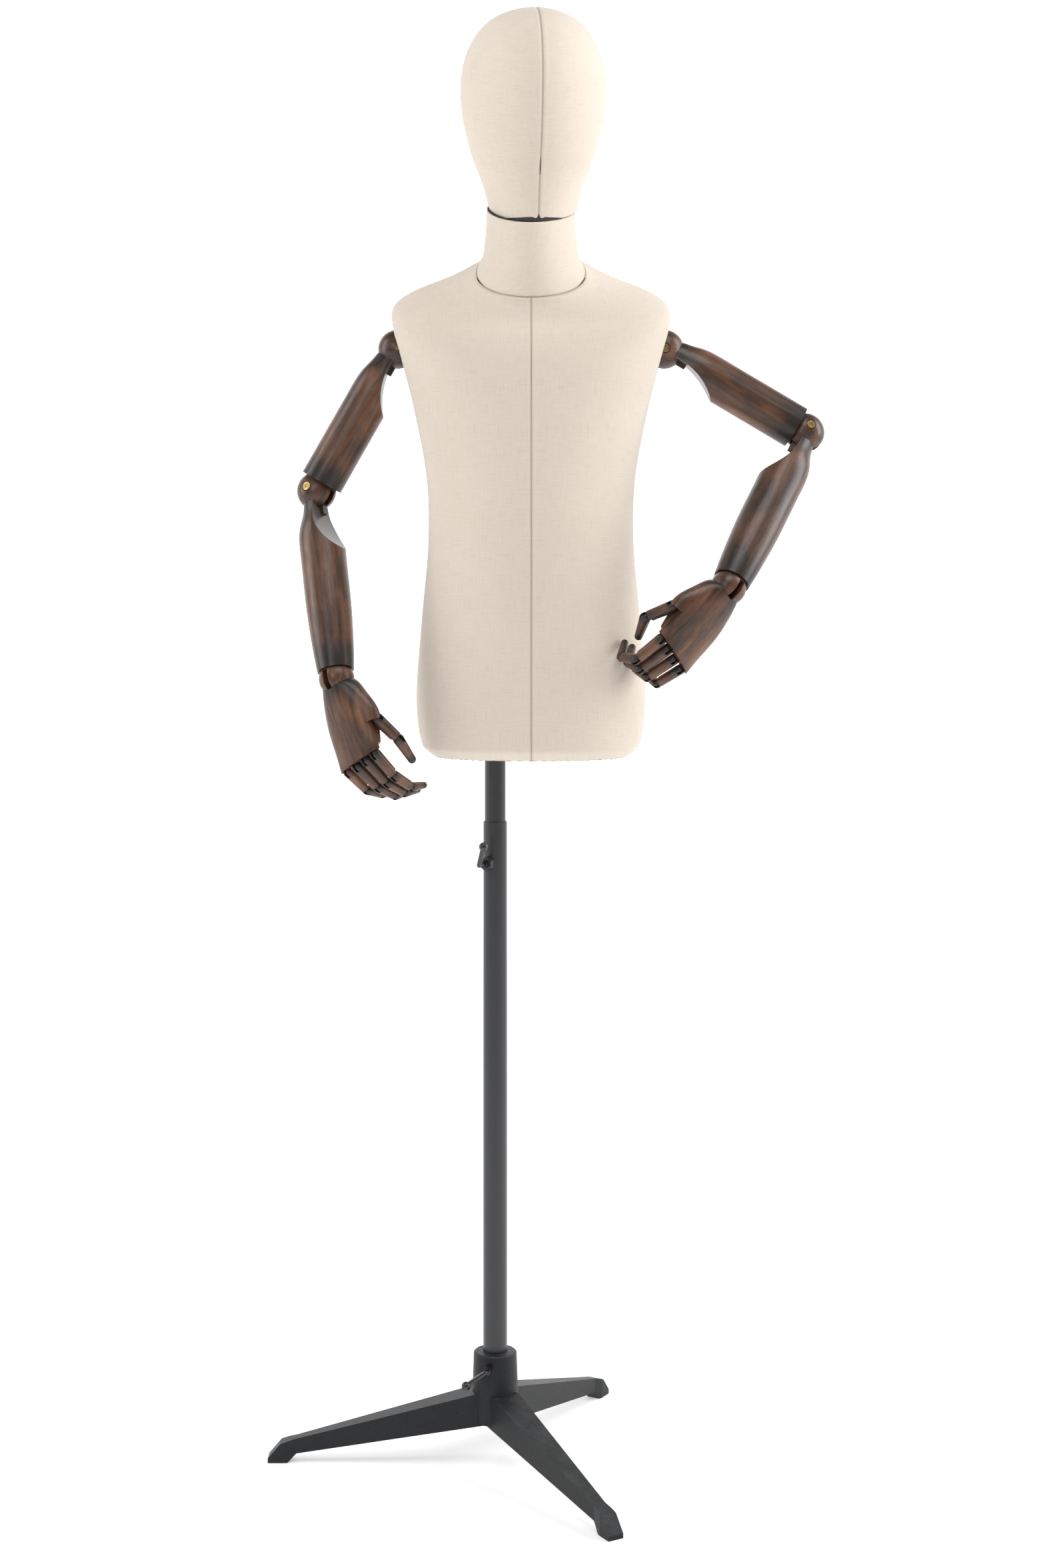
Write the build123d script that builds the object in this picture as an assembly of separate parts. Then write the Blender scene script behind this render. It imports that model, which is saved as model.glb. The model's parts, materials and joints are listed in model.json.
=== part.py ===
from build123d import *
import os
from math import copysign, cos, pi, radians, sin, tan

# A child-size display mannequin: linen-covered head, neck and torso, jointed wooden arms
# and hands, and a telescoping steel pole on a cast-iron tripod. Millimetres, +Z up.
# The origin is on the floor under the pole; the front faces -Y; "left" is the figure's own.

# ---------------------------------------------------------------- driving dimensions
GAP = 0.3                  # air between pieces that move past each other
PIN_GAP = 0.1              # radial clearance of a hinge pin
GLUE = 0.3                 # glue line round a board or block

# Stand
LOWER_TUBE_D = 25.0
UPPER_TUBE_D = 22.0
TUBE_WALL = 1.2
LOWER_TUBE_TOP = 671.0
TUBE_SEAT = 52.0           # height of the bottom of the hub's socket
TUBE_OVERLAP = 400.0       # upper tube hidden inside the lower one
HUB_TOP = 115.5
HUB_TOP_D = 45.0
HUB_FOOT_D = 50.0
HUB_BOTTOM = 44.0
LEG_REACH = 238.0          # pole axis to the tip of a foot
LEG_TOP = 74.0             # top edge of a leg at the hub
LEG_HUB_WIDTH = 34.0
LEG_ANKLE_WIDTH = 13.0
LEG_FOOT_WIDTH = 17.0
LEG_ANGLES = (180.0, -60.0, 60.0)
SOLE_LENGTH = 20.6

# Clamp screws
CLAMP_SHAFT_D = 8.0
CLAMP_ROD_D = 5.4
CLAMP_BALL_D = 9.4
CLAMP_NUT_AF = 13.0
CLAMP_NUT_HEIGHT = 6.5
BASE_CLAMP_Z = 104.0
BASE_CLAMP_AZIMUTH = -105.0
HEIGHT_CLAMP_Z = 628.0
HEIGHT_CLAMP_AZIMUTH = -123.0

# Torso and neck
TORSO_X = 37.6             # the torso stands off-centre on the pole
TORSO_BOTTOM = 741.0
COVER = 1.2                # linen with its thin padding
SHELL = 5.0
BOARD_THICKNESS = 15.0
POLE_INSERTION = 75.0      # pole inside the torso
SOCKET_WALL = 2.5
SOCKET_FLANGE_D = 70.0
SOCKET_FLANGE = 3.0
NECKLINE_Z = 1243.0
NECKLINE_TILT = 30.0
NECK_X = 40.0
NECK_TOP_Z = 1314.5        # centre of the slanted joint under the head
NECK_TILT = 21.5
PLUG = 16.0                # solid end of the neck and of the head
POST_D = 12.0
POST_NUT_AF = 24.0
POST_NUT_HEIGHT = 10.0

# Head
HEAD_TOP = 1523.4
HEAD_DEPTH_RATIO = 1.18    # depth of the head over its width
HEAD_TURN = 6.0

# Arms
SHOULDER_Z = 1167.0
SHOULDER_SPAN = 281.0      # between the centres of the two shoulder balls
SHOULDER_Y = 8.0
ARMHOLE_TILT = 15.0        # the armhole plates face down a little
POCKET_D = 56.0
BLOCK_DEPTH = 26.0
BALL_R = 20.6
BALL_SEAT = 10.5           # ball centre to its flat seat
WRIST_R = 18.2
WRIST_SEAT = 8.0
STUD_D = 8.0               # swivel bolt fixed in each ball
STUD_LENGTH = 15.0
TONGUE = 7.0
TONGUE_R = 8.5
WRIST_TONGUE = 6.0
WRIST_TONGUE_R = 6.5
SCREW_D = 5.0
SCREW_HEAD_D = 9.0
SCREW_HEAD = 2.6
SCREW_RECESS_D = 10.6
UPPER_ARM = 172.0          # shoulder centre to elbow centre
UPPER_ARM_R = 23.0
FOREARM = 210.0            # elbow centre to wrist centre
FOREARM_R = 23.8
FOREARM_END_R = 18.8
SCOOP_R = 75.0

# Hands
PALM = 90.0                # wrist centre to the middle of the knuckle line
KNUCKLE_SLANT = 12.0
FINGER_PITCH = 13.2
FINGER_TONGUE = 2.2
FINGER_TONGUE_R = 3.0
FINGER_PIN_D = 1.8
FINGERS = {                # place from the middle in pitches, phalanx lengths, radius
    "index": (1.5, (33.0, 27.0, 24.0), 5.9),
    "middle": (0.5, (35.0, 28.0, 25.0), 6.0),
    "ring": (-0.5, (34.0, 27.0, 24.0), 5.8),
    "little": (-1.5, (30.0, 24.0, 21.0), 5.4),
}
THUMB = ((31.0, 31.0), 6.4)
PHALANX_NAMES = ("proximal", "middle", "distal")

# Torso and neck outline, bottom to top: height, half width, depth in front, depth behind,
# squareness of the outline (2 is an ellipse)
BODY_ROWS = (
    (741, 102, 73, 69, 2.4), (752, 114, 84, 80, 2.4), (800, 120, 92, 87, 2.3),
    (880, 115, 96, 78, 2.2), (960, 108, 95, 67, 2.2), (1030, 109.5, 89, 66, 2.2),
    (1100, 122, 85, 77, 2.4), (1150, 134.5, 78, 80, 2.7), (1190, 144.5, 65, 71, 2.8),
    (1210, 144.5, 53, 59, 2.6), (1222, 127, 49, 55, 2.4), (1234, 91, 47, 54, 2.2),
    (1250, 58, 48, 54, 2.0), (1280, 48.5, 52, 54, 2.0), (1350, 46.5, 54, 54, 2.0),
)
HALF_POINTS = 8
LEAN_START = 1150.0        # above this height the outlines lean forward, as a neckline does

# Head outline from the top down: distance below the top, half width
HEAD_ROWS = ((0, 9.0), (4, 26.0), (14, 46.6), (25, 58.0), (40, 67.4), (62, 74.6), (84, 76.8),
             (106, 75.4), (130, 71.0), (158, 63.2), (185, 53.0), (215, 45.5), (245, 41.0))

# Palm outline: distance from the wrist, sideways offset, half width, half thickness
PALM_ROWS = (
    (5, 0.5, 17.5, 16.0), (20, 3.0, 25.5, 15.5), (36, 5.0, 31.0, 15.0), (50, 5.5, 33.0, 14.5),
    (66, 3.0, 30.5, 13.5), (84, 0.5, 28.0, 12.0), (104, 0.0, 26.5, 10.5),
)


# Heights of the outlines that the body and the neck are built through
BODY_HEIGHTS = (741, 752, 775, 800, 840, 880, 920, 960, 995, 1030, 1065, 1100, 1125, 1150, 1172,
                1190, 1202, 1210, 1216, 1222, 1228, 1234, NECKLINE_Z)
NECK_JOINT_Z = NECK_TOP_Z - GAP / cos(radians(NECK_TILT))
NECK_HEIGHTS = (NECKLINE_Z, 1250, 1260, 1280, NECK_JOINT_Z - PLUG, NECK_JOINT_Z)


# ---------------------------------------------------------------- where each arm is
class Arm:
    """The rest pose of one arm: joint centres, limb directions and hinge axes."""

    def __init__(self, side, upper, fore, hand, hand_hinge, curls, thumb_curl):
        self.side = side
        self.sign = 1 if side == "left" else -1
        self.index_side = -self.sign
        tilt = radians(ARMHOLE_TILT)
        self.out = Vector(self.sign * cos(tilt), 0, -sin(tilt))
        self.upper = Vector(*upper).normalized()
        self.fore = Vector(*fore).normalized()
        self.shoulder = Vector(TORSO_X + self.sign * SHOULDER_SPAN / 2, SHOULDER_Y, SHOULDER_Z)
        self.elbow = self.shoulder + self.upper * UPPER_ARM
        self.wrist = self.elbow + self.fore * FOREARM
        self.shoulder_hinge = self.out.cross(self.upper).normalized()
        self.elbow_hinge = self.upper.cross(self.fore).normalized()
        self.wrist_hinge = upright(Vector(*hand_hinge), self.fore)
        self.hand = upright(Vector(*hand), self.wrist_hinge)
        self.curls = curls
        self.thumb_curl = thumb_curl

    def palm_frame(self):
        return limb_frame(self.wrist, self.hand, self.wrist_hinge)

    def finger_frames(self, finger):
        """Frames of the three phalanges, each at its own hinge."""
        place, lengths, radius = FINGERS[finger]
        frame = self.palm_frame() * Pos(*knuckle(self, place))
        frames = []
        for curl, length in zip(self.curls[finger], lengths):
            frame = frame * Rot(0, curl, 0)
            frames.append(frame)
            frame = frame * Pos(0, 0, length)
        return frames

    def thumb_frames(self):
        """Frames of the two thumb pieces."""
        frame = self.palm_frame() * thumb_root(self)
        lengths, radius = THUMB
        return [frame, frame * Pos(0, 0, lengths[0]) * Rot(0, self.thumb_curl, 0)]


def upright(direction, axis):
    """The part of a direction that is square to an axis."""
    return (direction - axis * direction.dot(axis)).normalized()


def limb_frame(origin, along, hinge):
    """Local frame of a limb: z runs along it, y is its hinge axis, x is the way it bends."""
    return Plane(origin=origin, x_dir=hinge.cross(along), z_dir=along).location


def knuckle(arm, place):
    """Centre of a finger's first hinge, in the palm's frame."""
    offset = place * FINGER_PITCH
    return (0, arm.index_side * offset, PALM - offset * tan(radians(KNUCKLE_SLANT)))


def thumb_root(arm):
    """The thumb's own frame in the palm's frame: it leans over the palm."""
    along = Vector(0.50, 0.22 * arm.index_side, 0.84).normalized()
    across = upright(Vector(0.80 * arm.index_side, 0.16, -0.6 * arm.index_side), along)
    return limb_frame(Vector(4.0, 32.0 * arm.index_side, 53.0), along, across)


ARMS = (
    Arm("right", (-0.496, 0, -0.869), (0.128, -0.376, -0.917), (0.258, -0.122, -0.958),
        (0.78, -0.55, 0.28),
        {"index": (38, 18, 32), "middle": (40, 20, 30), "ring": (42, 21, 28),
         "little": (44, 28, 18)}, 18),
    Arm("left", (0.860, 0, -0.510), (-0.424, -0.486, -0.765), (-0.665, -0.119, -0.737),
        (0.64, 0.42, -0.645),
        {"index": (20, 58, 57), "middle": (26, 62, 50), "ring": (30, 62, 50),
         "little": (34, 60, 48)}, 50),
)


# ---------------------------------------------------------------- stand
def tube(outer_d, bottom, top):
    ring = Circle(outer_d / 2) - Circle(outer_d / 2 - TUBE_WALL)
    return extrude(Plane.XY.offset(bottom) * ring, top - bottom)


def leg():
    """One tripod leg along +X: a tapering bar that steps down to a flat foot."""
    tip = LEG_REACH
    heel = tip - SOLE_LENGTH
    side = Polyline((0, HUB_BOTTOM), (0, LEG_TOP), (HUB_FOOT_D / 2 - 3, LEG_TOP), (tip - 22, 23),
                    (tip - 13, 20), (tip, 5), (tip, 0), (heel, 0), (heel - 9, 9.4), close=True)
    plan = Polyline((0, LEG_HUB_WIDTH / 2), (tip - 30, LEG_ANKLE_WIDTH / 2),
                    (tip - 16, LEG_FOOT_WIDTH / 2), (tip, LEG_FOOT_WIDTH / 2),
                    (tip, -LEG_FOOT_WIDTH / 2), (tip - 16, -LEG_FOOT_WIDTH / 2),
                    (tip - 30, -LEG_ANKLE_WIDTH / 2), (0, -LEG_HUB_WIDTH / 2), close=True)
    bar = extrude(Plane.XZ * make_face(side), LEG_HUB_WIDTH, both=True)
    return bar & extrude(make_face(plan), LEG_TOP + 1)


def tripod_base():
    hub = Cone(HUB_FOOT_D / 2, HUB_TOP_D / 2, HUB_TOP - HUB_BOTTOM,
               align=(Align.CENTER, Align.CENTER, Align.MIN))
    base = Pos(0, 0, HUB_BOTTOM) * hub
    for angle in LEG_ANGLES:
        base += Rot(0, 0, angle) * leg()
    socket = Cylinder(LOWER_TUBE_D / 2 + PIN_GAP, HUB_TOP - TUBE_SEAT + 1,
                      align=(Align.CENTER, Align.CENTER, Align.MIN))
    base -= Pos(0, 0, TUBE_SEAT) * socket
    rim = base.edges().filter_by(GeomType.CIRCLE).group_by(Axis.Z)[-1]
    base = chamfer(rim.sort_by(SortBy.RADIUS)[-1], 1.5)
    return base - clamp_hole(base_clamp_frame(), CLAMP_SHAFT_D / 2 + PIN_GAP)


def clamp_frame(azimuth, height):
    """Frame on the pole axis whose z points out along a clamp screw and whose x is upright."""
    out = Vector(cos(radians(azimuth)), sin(radians(azimuth)), 0)
    return Plane(origin=(0, 0, height), x_dir=(0, 0, 1), z_dir=out).location


def base_clamp_frame():
    return clamp_frame(BASE_CLAMP_AZIMUTH, BASE_CLAMP_Z)


def height_clamp_frame():
    return clamp_frame(HEIGHT_CLAMP_AZIMUTH, HEIGHT_CLAMP_Z)


def clamp_hole(frame, radius):
    return frame * Cylinder(radius, 40, align=(Align.CENTER, Align.CENTER, Align.MIN))


def clamp_screw(start, collar, elbow, handle, lean):
    """Threaded shaft, bent rod and ball grip. Distances run out from the pole axis."""
    lift = Align.CENTER, Align.CENTER, Align.MIN
    shaft = Pos(0, 0, start) * Cylinder(CLAMP_SHAFT_D / 2, collar - start, align=lift)
    neck = Pos(0, 0, collar) * Cylinder(CLAMP_ROD_D / 2, elbow - collar, align=lift)
    bend = Pos(0, 0, elbow) * Sphere(CLAMP_ROD_D / 2)
    turn = Pos(0, 0, elbow) * Rot(0, 0, lean) * Rot(0, 80, 0)
    rod = turn * Cylinder(CLAMP_ROD_D / 2, handle, align=lift)
    ball = turn * Pos(0, 0, handle) * Sphere(CLAMP_BALL_D / 2)
    return shaft + neck + bend + rod + ball


def base_clamp_screw():
    reach = LOWER_TUBE_D / 2 + GAP
    return base_clamp_frame() * clamp_screw(reach, 33, 39, 24, 125)


def lower_tube():
    """Lower tube with the hex nut of the height clamp welded on."""
    mast = tube(LOWER_TUBE_D, TUBE_SEAT + GAP, LOWER_TUBE_TOP)
    reach = LOWER_TUBE_D / 2 - 0.6
    hexagon = RegularPolygon(CLAMP_NUT_AF / 2, 6, major_radius=False)
    nut = Pos(0, 0, reach) * extrude(hexagon, CLAMP_NUT_HEIGHT)
    mast += height_clamp_frame() * nut
    return mast - clamp_hole(height_clamp_frame(), CLAMP_SHAFT_D / 2 + PIN_GAP)


def height_clamp_screw():
    reach = UPPER_TUBE_D / 2 + GAP
    return height_clamp_frame() * clamp_screw(reach, 23, 30, 22, -21)


def upper_tube():
    return tube(UPPER_TUBE_D, LOWER_TUBE_TOP - TUBE_OVERLAP, TORSO_BOTTOM + POLE_INSERTION)


# ---------------------------------------------------------------- torso, neck and head
def row_at(height):
    """Outline at any height: a smooth curve through the rows above and below."""
    k = max(i for i in range(len(BODY_ROWS) - 1) if BODY_ROWS[i][0] <= height)
    before, low, high, after = (BODY_ROWS[min(max(i, 0), len(BODY_ROWS) - 1)]
                                for i in range(k - 1, k + 3))
    span = high[0] - low[0]
    t = (height - low[0]) / span
    row = []
    for a, b, c, d in zip(before[1:], low[1:], high[1:], after[1:]):
        rise_in = (c - a) / (high[0] - before[0]) * span
        rise_out = (d - b) / (after[0] - low[0]) * span
        row.append((2 * t ** 3 - 3 * t ** 2 + 1) * b + (t ** 3 - 2 * t ** 2 + t) * rise_in
                   + (3 * t ** 2 - 2 * t ** 3) * c + (t ** 3 - t ** 2) * rise_out)
    return row


def lean_at(height):
    """Tilt of an outline: level in the body, the neckline's there and the head joint's on top."""
    if height <= NECKLINE_Z:
        return NECKLINE_TILT * max(0, (height - LEAN_START) / (NECKLINE_Z - LEAN_START))
    share = (height - NECKLINE_Z) / (NECK_JOINT_Z - NECKLINE_Z)
    return NECKLINE_TILT + (NECK_TILT - NECKLINE_TILT) * share


def half_outline(height, inset, side):
    """Half of an outline, front to back: a superellipse, deeper or shallower behind."""
    half_width, front, behind, squareness = row_at(height)
    stretch = 1 / cos(radians(lean_at(height)))
    points = []
    for k in range(HALF_POINTS + 1):
        turn = pi * (k / HALF_POINTS - 0.5)
        depth = behind if turn > 0 else front
        x = cos(turn) ** (2 / squareness) * (half_width - inset) if 0 < k < HALF_POINTS else 0
        y = copysign(abs(sin(turn)) ** (2 / squareness), turn) * (depth - inset)
        points.append((side * x, y * stretch))
    return Spline(*points, tangents=((side, 0), (-side, 0)))


def outline_plane(height):
    return slanted_plane(TORSO_X, height, lean_at(height))


def half_face(height, inset, side):
    curve = half_outline(height, inset, side)
    return Face(Wire([curve.edge(), Line(curve @ 1, curve @ 0).edge()]))


def half_skin(heights, near, far, side):
    """Half of a hollow body between two insets, through the outlines at some heights."""
    sections = []
    for height in heights:
        rim = half_face(height, near, side) - half_face(height, far, side)
        sections.append(outline_plane(height) * rim.face())
    return loft(sections, ruled=True)


def whole_outline(height, inset):
    halves = [half_outline(height, inset, side).edge() for side in (-1, 1)]
    return outline_plane(height) * Face(Wire(halves))


def whole_body(heights, inset):
    return loft([whole_outline(height, inset) for height in heights], ruled=True)


def slanted_plane(x, height, tilt):
    """Plane across the figure that dips towards the front."""
    lean = radians(tilt)
    return Plane(origin=(x, 0, height), x_dir=(1, 0, 0), z_dir=(0, -sin(lean), cos(lean)))


def neck_plane(offset=0):
    return slanted_plane(NECK_X, NECK_TOP_Z, NECK_TILT).offset(offset)


def below(plane, size=4000):
    """Everything under a plane."""
    box = Box(size, size, size, align=(Align.CENTER, Align.CENTER, Align.MAX))
    return plane.location * box


def above(plane, size=4000):
    box = Box(size, size, size, align=(Align.CENTER, Align.CENTER, Align.MIN))
    return plane.location * box


def armhole(arm):
    """Round pocket that the shoulder ball sits in, with its floor on the block."""
    floor = BALL_SEAT + GAP + BLOCK_DEPTH
    pocket = Cylinder(POCKET_D / 2, floor + 60, align=(Align.CENTER, Align.CENTER, Align.MIN))
    return shoulder_frame(arm) * Pos(0, 0, -floor) * pocket


def shoulder_frame(arm):
    return limb_frame(arm.shoulder, arm.out, arm.shoulder_hinge)


def wood_blocks():
    """Blocks glued in the shell: one in each armhole for a swivel bolt, one in the neck."""
    blocks = []
    for arm in ARMS:
        block = Cylinder(POCKET_D / 2, BLOCK_DEPTH, align=(Align.CENTER, Align.CENTER, Align.MAX))
        block = Pos(0, 0, -BALL_SEAT - GAP) * block - stud_bore()
        blocks.append(shoulder_frame(arm) * block)
    inset = COVER + SHELL + GLUE
    plug = whole_body(NECK_HEIGHTS[-2:], inset)
    post_hole = neck_plane(-2 * PLUG).location * Cylinder(
        POST_D / 2, 200, align=(Align.CENTER, Align.CENTER, Align.MIN))
    return Compound(children=blocks + [plug - post_hole])


def torso_pieces():
    """Hard shell with its neck, the linen over it and the board that closes it."""
    shells, body_halves = [], []
    for arm in ARMS:
        pocket = armhole(arm)
        shells.append(
            half_skin(BODY_HEIGHTS + NECK_HEIGHTS[1:], COVER, COVER + SHELL, arm.sign) - pocket)
        body_halves.append(half_skin(BODY_HEIGHTS, 0, COVER, arm.sign) - pocket)
    board = extrude(whole_outline(TORSO_BOTTOM, COVER + SHELL + GLUE), BOARD_THICKNESS, dir=(0, 0, 1))
    return {
        "torso_shell": Compound(children=shells),
        "base_board": board - Pos(0, 0, TORSO_BOTTOM) * Cylinder(UPPER_TUBE_D / 2, 200),
        "neck_cover": whole_body(NECK_HEIGHTS, 0) - whole_body(NECK_HEIGHTS, COVER),
        "torso_cover_right": body_halves[0],
        "torso_cover_left": body_halves[1],
    }


def pole_socket():
    """Steel sleeve with a flange that screws down on the base board."""
    bottom = TORSO_BOTTOM + BOARD_THICKNESS
    sleeve_r = UPPER_TUBE_D / 2 + SOCKET_WALL
    flange = Circle(SOCKET_FLANGE_D / 2) - Circle(UPPER_TUBE_D / 2)
    sleeve = Circle(sleeve_r) - Circle(UPPER_TUBE_D / 2)
    rise = POLE_INSERTION - BOARD_THICKNESS
    floor = Plane.XY.offset(bottom)
    return extrude(floor * flange, SOCKET_FLANGE) + extrude(floor * sleeve, rise)


def head_post():
    """Steel post fixed in the neck, with the nut that keeps the head on."""
    root = neck_plane(-PLUG).location
    post = root * Cylinder(POST_D / 2, 2 * PLUG + 20,
                           align=(Align.CENTER, Align.CENTER, Align.MIN))
    hexagon = RegularPolygon(POST_NUT_AF / 2, 6, major_radius=False)
    return post + neck_plane(PLUG + GAP).location * extrude(hexagon, POST_NUT_HEIGHT)


def head_solid(inset):
    """Egg-shaped head, deeper than it is wide."""
    sections = []
    for drop, half in HEAD_ROWS:
        level = Plane.XY.offset(HEAD_TOP - inset - drop)
        sections.append(level * Ellipse(half - inset, HEAD_DEPTH_RATIO * half - inset))
    return Pos(NECK_X, 0, 0) * Rot(0, 0, HEAD_TURN) * loft(sections)


def head_pieces():
    """Hard shell with a solid lower end, and the two halves of its linen."""
    cut = below(neck_plane())
    outer, middle, inner = head_solid(0), head_solid(COVER), head_solid(COVER + SHELL)
    bore = neck_plane().location * Cylinder(POST_D / 2 + PIN_GAP, 3 * PLUG)
    cavity = inner - below(neck_plane(PLUG))
    linen = (outer - middle) - cut
    seam = Plane(origin=(NECK_X, 0, 0), z_dir=Vector(1, 0, 0).rotate(Axis.Z, HEAD_TURN))
    return {
        "head_shell": middle - cut - cavity - bore,
        "head_cover_left": linen - below(seam),
        "head_cover_right": linen - above(seam),
    }


# ---------------------------------------------------------------- arm joints
def stud_bore():
    """Hole for a swivel bolt, in the frame of its ball."""
    depth = BALL_SEAT + GAP + STUD_LENGTH + 1
    return Pos(0, 0, -depth) * Cylinder(STUD_D / 2 + PIN_GAP, depth,
                                        align=(Align.CENTER, Align.CENTER, Align.MIN))


def slotted_ball(radius, seat, tongue, tongue_r):
    """Ball with a flat seat, a slot for the next limb's tongue and its swivel bolt."""
    ball = Sphere(radius) & Pos(0, 0, -seat) * Box(
        3 * radius, 3 * radius, 3 * radius, align=(Align.CENTER, Align.CENTER, Align.MIN))
    slot = Box(3 * radius, tongue + 2 * GAP, 3 * radius,
               align=(Align.CENTER, Align.CENTER, Align.MIN))
    stud = Pos(0, 0, -seat - STUD_LENGTH) * Cylinder(
        STUD_D / 2, STUD_LENGTH, align=(Align.CENTER, Align.CENTER, Align.MIN))
    return ball - Pos(0, 0, -tongue_r - GAP) * slot + stud


def screw_holes(radius, side):
    """Through hole and counterbore of a hinge screw whose head is on one side."""
    hole = Rot(90, 0, 0) * Cylinder(SCREW_D / 2, 4 * radius)
    recess = Pos(0, side * (radius - 3.4), 0) * Rot(-90 * side, 0, 0) * Cylinder(
        SCREW_RECESS_D / 2, 10, align=(Align.CENTER, Align.CENTER, Align.MIN))
    return hole + recess


def hinge_screw(radius, side):
    """Cross-head screw through a ball: its shank is the hinge pin."""
    floor = radius - 3.4
    shank = Pos(0, side * floor, 0) * Rot(90 * side, 0, 0) * Cylinder(
        SCREW_D / 2, floor + radius - 4, align=(Align.CENTER, Align.CENTER, Align.MIN))
    head = Pos(0, side * floor, 0) * Rot(-90 * side, 0, 0) * Cylinder(
        SCREW_HEAD_D / 2, SCREW_HEAD, align=(Align.CENTER, Align.CENTER, Align.MIN))
    cross = Pos(0, side * (floor + SCREW_HEAD), 0) * (Box(5.2, 2.4, 1.1) + Box(1.1, 2.4, 5.2))
    return shank + head - cross


def joint_ball(frame, side):
    return frame * (slotted_ball(BALL_R, BALL_SEAT, TONGUE, TONGUE_R) - screw_holes(BALL_R, side))


def turned_limb(profile, end):
    """Solid turned about z from a profile of (distance, radius) points."""
    first, last = profile[0], profile[-1]
    curve = Spline(*[(r, z) for z, r in profile], tangents=((1, 0.9), (end, 1)))
    sides = Polyline((last[1], last[0]), (0, last[0]), (0, first[0]), (first[1], first[0]))
    return revolve(make_face(Plane.XZ * (curve + sides)), Axis.Z)


def scoop(start, finish):
    """Hollow on the bending side that clears the end of the limb above."""
    (x0, z0), (x1, z1) = start, finish
    chord = Vector(x1 - x0, z1 - z0, 0)
    away = Vector(chord.Y, -chord.X, 0).normalized()
    rise = (SCOOP_R ** 2 - (chord.length / 2) ** 2) ** 0.5
    centre = Vector((x0 + x1) / 2, (z0 + z1) / 2, 0) + away * rise
    return Pos(centre.X, 0, centre.Y) * Rot(90, 0, 0) * Cylinder(SCOOP_R, 100)


def tongue_plate(thickness, radius, reach):
    """Round-ended tongue around a hinge, running on into the limb."""
    disc = Rot(90, 0, 0) * Cylinder(radius, thickness)
    neck = Box(2 * radius - 1, thickness, reach, align=(Align.CENTER, Align.CENTER, Align.MIN))
    return disc + neck


def limb(profile, end, ball_r, flat, scoop_end):
    """Wooden limb: turned, cupped round its ball, scooped, with a tongue into the slot."""
    body = turned_limb(profile, end)
    body -= Sphere(ball_r + GAP)
    body -= scoop((3, 9), scoop_end)
    body += tongue_plate(TONGUE, TONGUE_R, ball_r + 8)
    body -= Rot(90, 0, 0) * Cylinder(SCREW_D / 2 + PIN_GAP, 60)
    bore = Cylinder(STUD_D / 2 + PIN_GAP, 2 * (STUD_LENGTH + 2))
    return body - Pos(0, 0, flat) * bore


def upper_arm(arm):
    r, flat = UPPER_ARM_R, UPPER_ARM - BALL_SEAT - GAP
    profile = [(9, 13.5), (20, 17.5), (38, 21.8), (60, r), (flat, r)]
    frame = limb_frame(arm.shoulder, arm.upper, arm.shoulder_hinge)
    return frame * limb(profile, 0, BALL_R, flat, (r, 70))


def forearm(arm):
    r, flat = FOREARM_R, FOREARM - WRIST_SEAT - GAP
    profile = [(9, 12.0), (22, 16.0), (42, 21.8), (75, r), (125, r - 0.2), (170, 21.6),
               (flat, FOREARM_END_R)]
    frame = limb_frame(arm.elbow, arm.fore, arm.elbow_hinge)
    return frame * limb(profile, -0.12, BALL_R, flat, (r, 72))


def wrist_ball(arm):
    """Plain wooden wrist ball with a dowel for a hinge."""
    ball = slotted_ball(WRIST_R, WRIST_SEAT, WRIST_TONGUE, WRIST_TONGUE_R)
    dowel = Rot(90, 0, 0) * Cylinder(SCREW_D / 2, 2 * WRIST_R - 4)
    return limb_frame(arm.wrist, arm.fore, arm.wrist_hinge) * (ball + dowel)


# ---------------------------------------------------------------- hands
def finger_tongue(radius):
    """Tongue and neck that carry the next phalanx, with its pin hole; hinge at the origin."""
    plate = Rot(90, 0, 0) * Cylinder(FINGER_TONGUE_R, FINGER_TONGUE)
    neck = Box(2 * FINGER_TONGUE_R - 1, FINGER_TONGUE, radius + 3,
               align=(Align.CENTER, Align.CENTER, Align.MAX))
    return plate + neck - Rot(90, 0, 0) * Cylinder(FINGER_PIN_D / 2 + PIN_GAP, 10)


def phalanx(length, radius, next_radius=None):
    """Finger bone: round knuckle with a slot and pin, and a cup and tongue for the next one."""
    lift = (Align.CENTER, Align.CENTER, Align.MIN)
    tip = next_radius or 0.72 * radius
    if next_radius:
        body = Cone(radius, tip, length - 0.6 * tip, align=lift) + Sphere(radius)
        body -= Pos(0, 0, length) * Sphere(next_radius + GAP)
        body -= Pos(0, 0, length - next_radius - GAP) * Box(
            3 * radius, 3 * radius, 3 * radius, align=(Align.MIN, Align.CENTER, Align.MIN))
    else:
        body = Cone(radius, tip, length - tip, align=lift) + Sphere(radius)
        body += Pos(0, 0, length - tip) * Sphere(tip)
    slot = Box(4 * radius, FINGER_TONGUE + 2 * GAP, radius + FINGER_TONGUE_R + 1,
               align=(Align.CENTER, Align.CENTER, Align.MIN))
    body -= Pos(0, 0, -radius - 0.5) * slot
    body += Rot(90, 0, 0) * Cylinder(FINGER_PIN_D / 2, 1.6 * radius)
    if next_radius:
        body += Pos(0, 0, length) * finger_tongue(next_radius)
    return body


def palm_outline(arm, row):
    height, offset, half_width, half_thickness = row
    centre = Plane(origin=(0, arm.index_side * offset, height))
    return centre * Ellipse(half_thickness, half_width)


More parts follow.
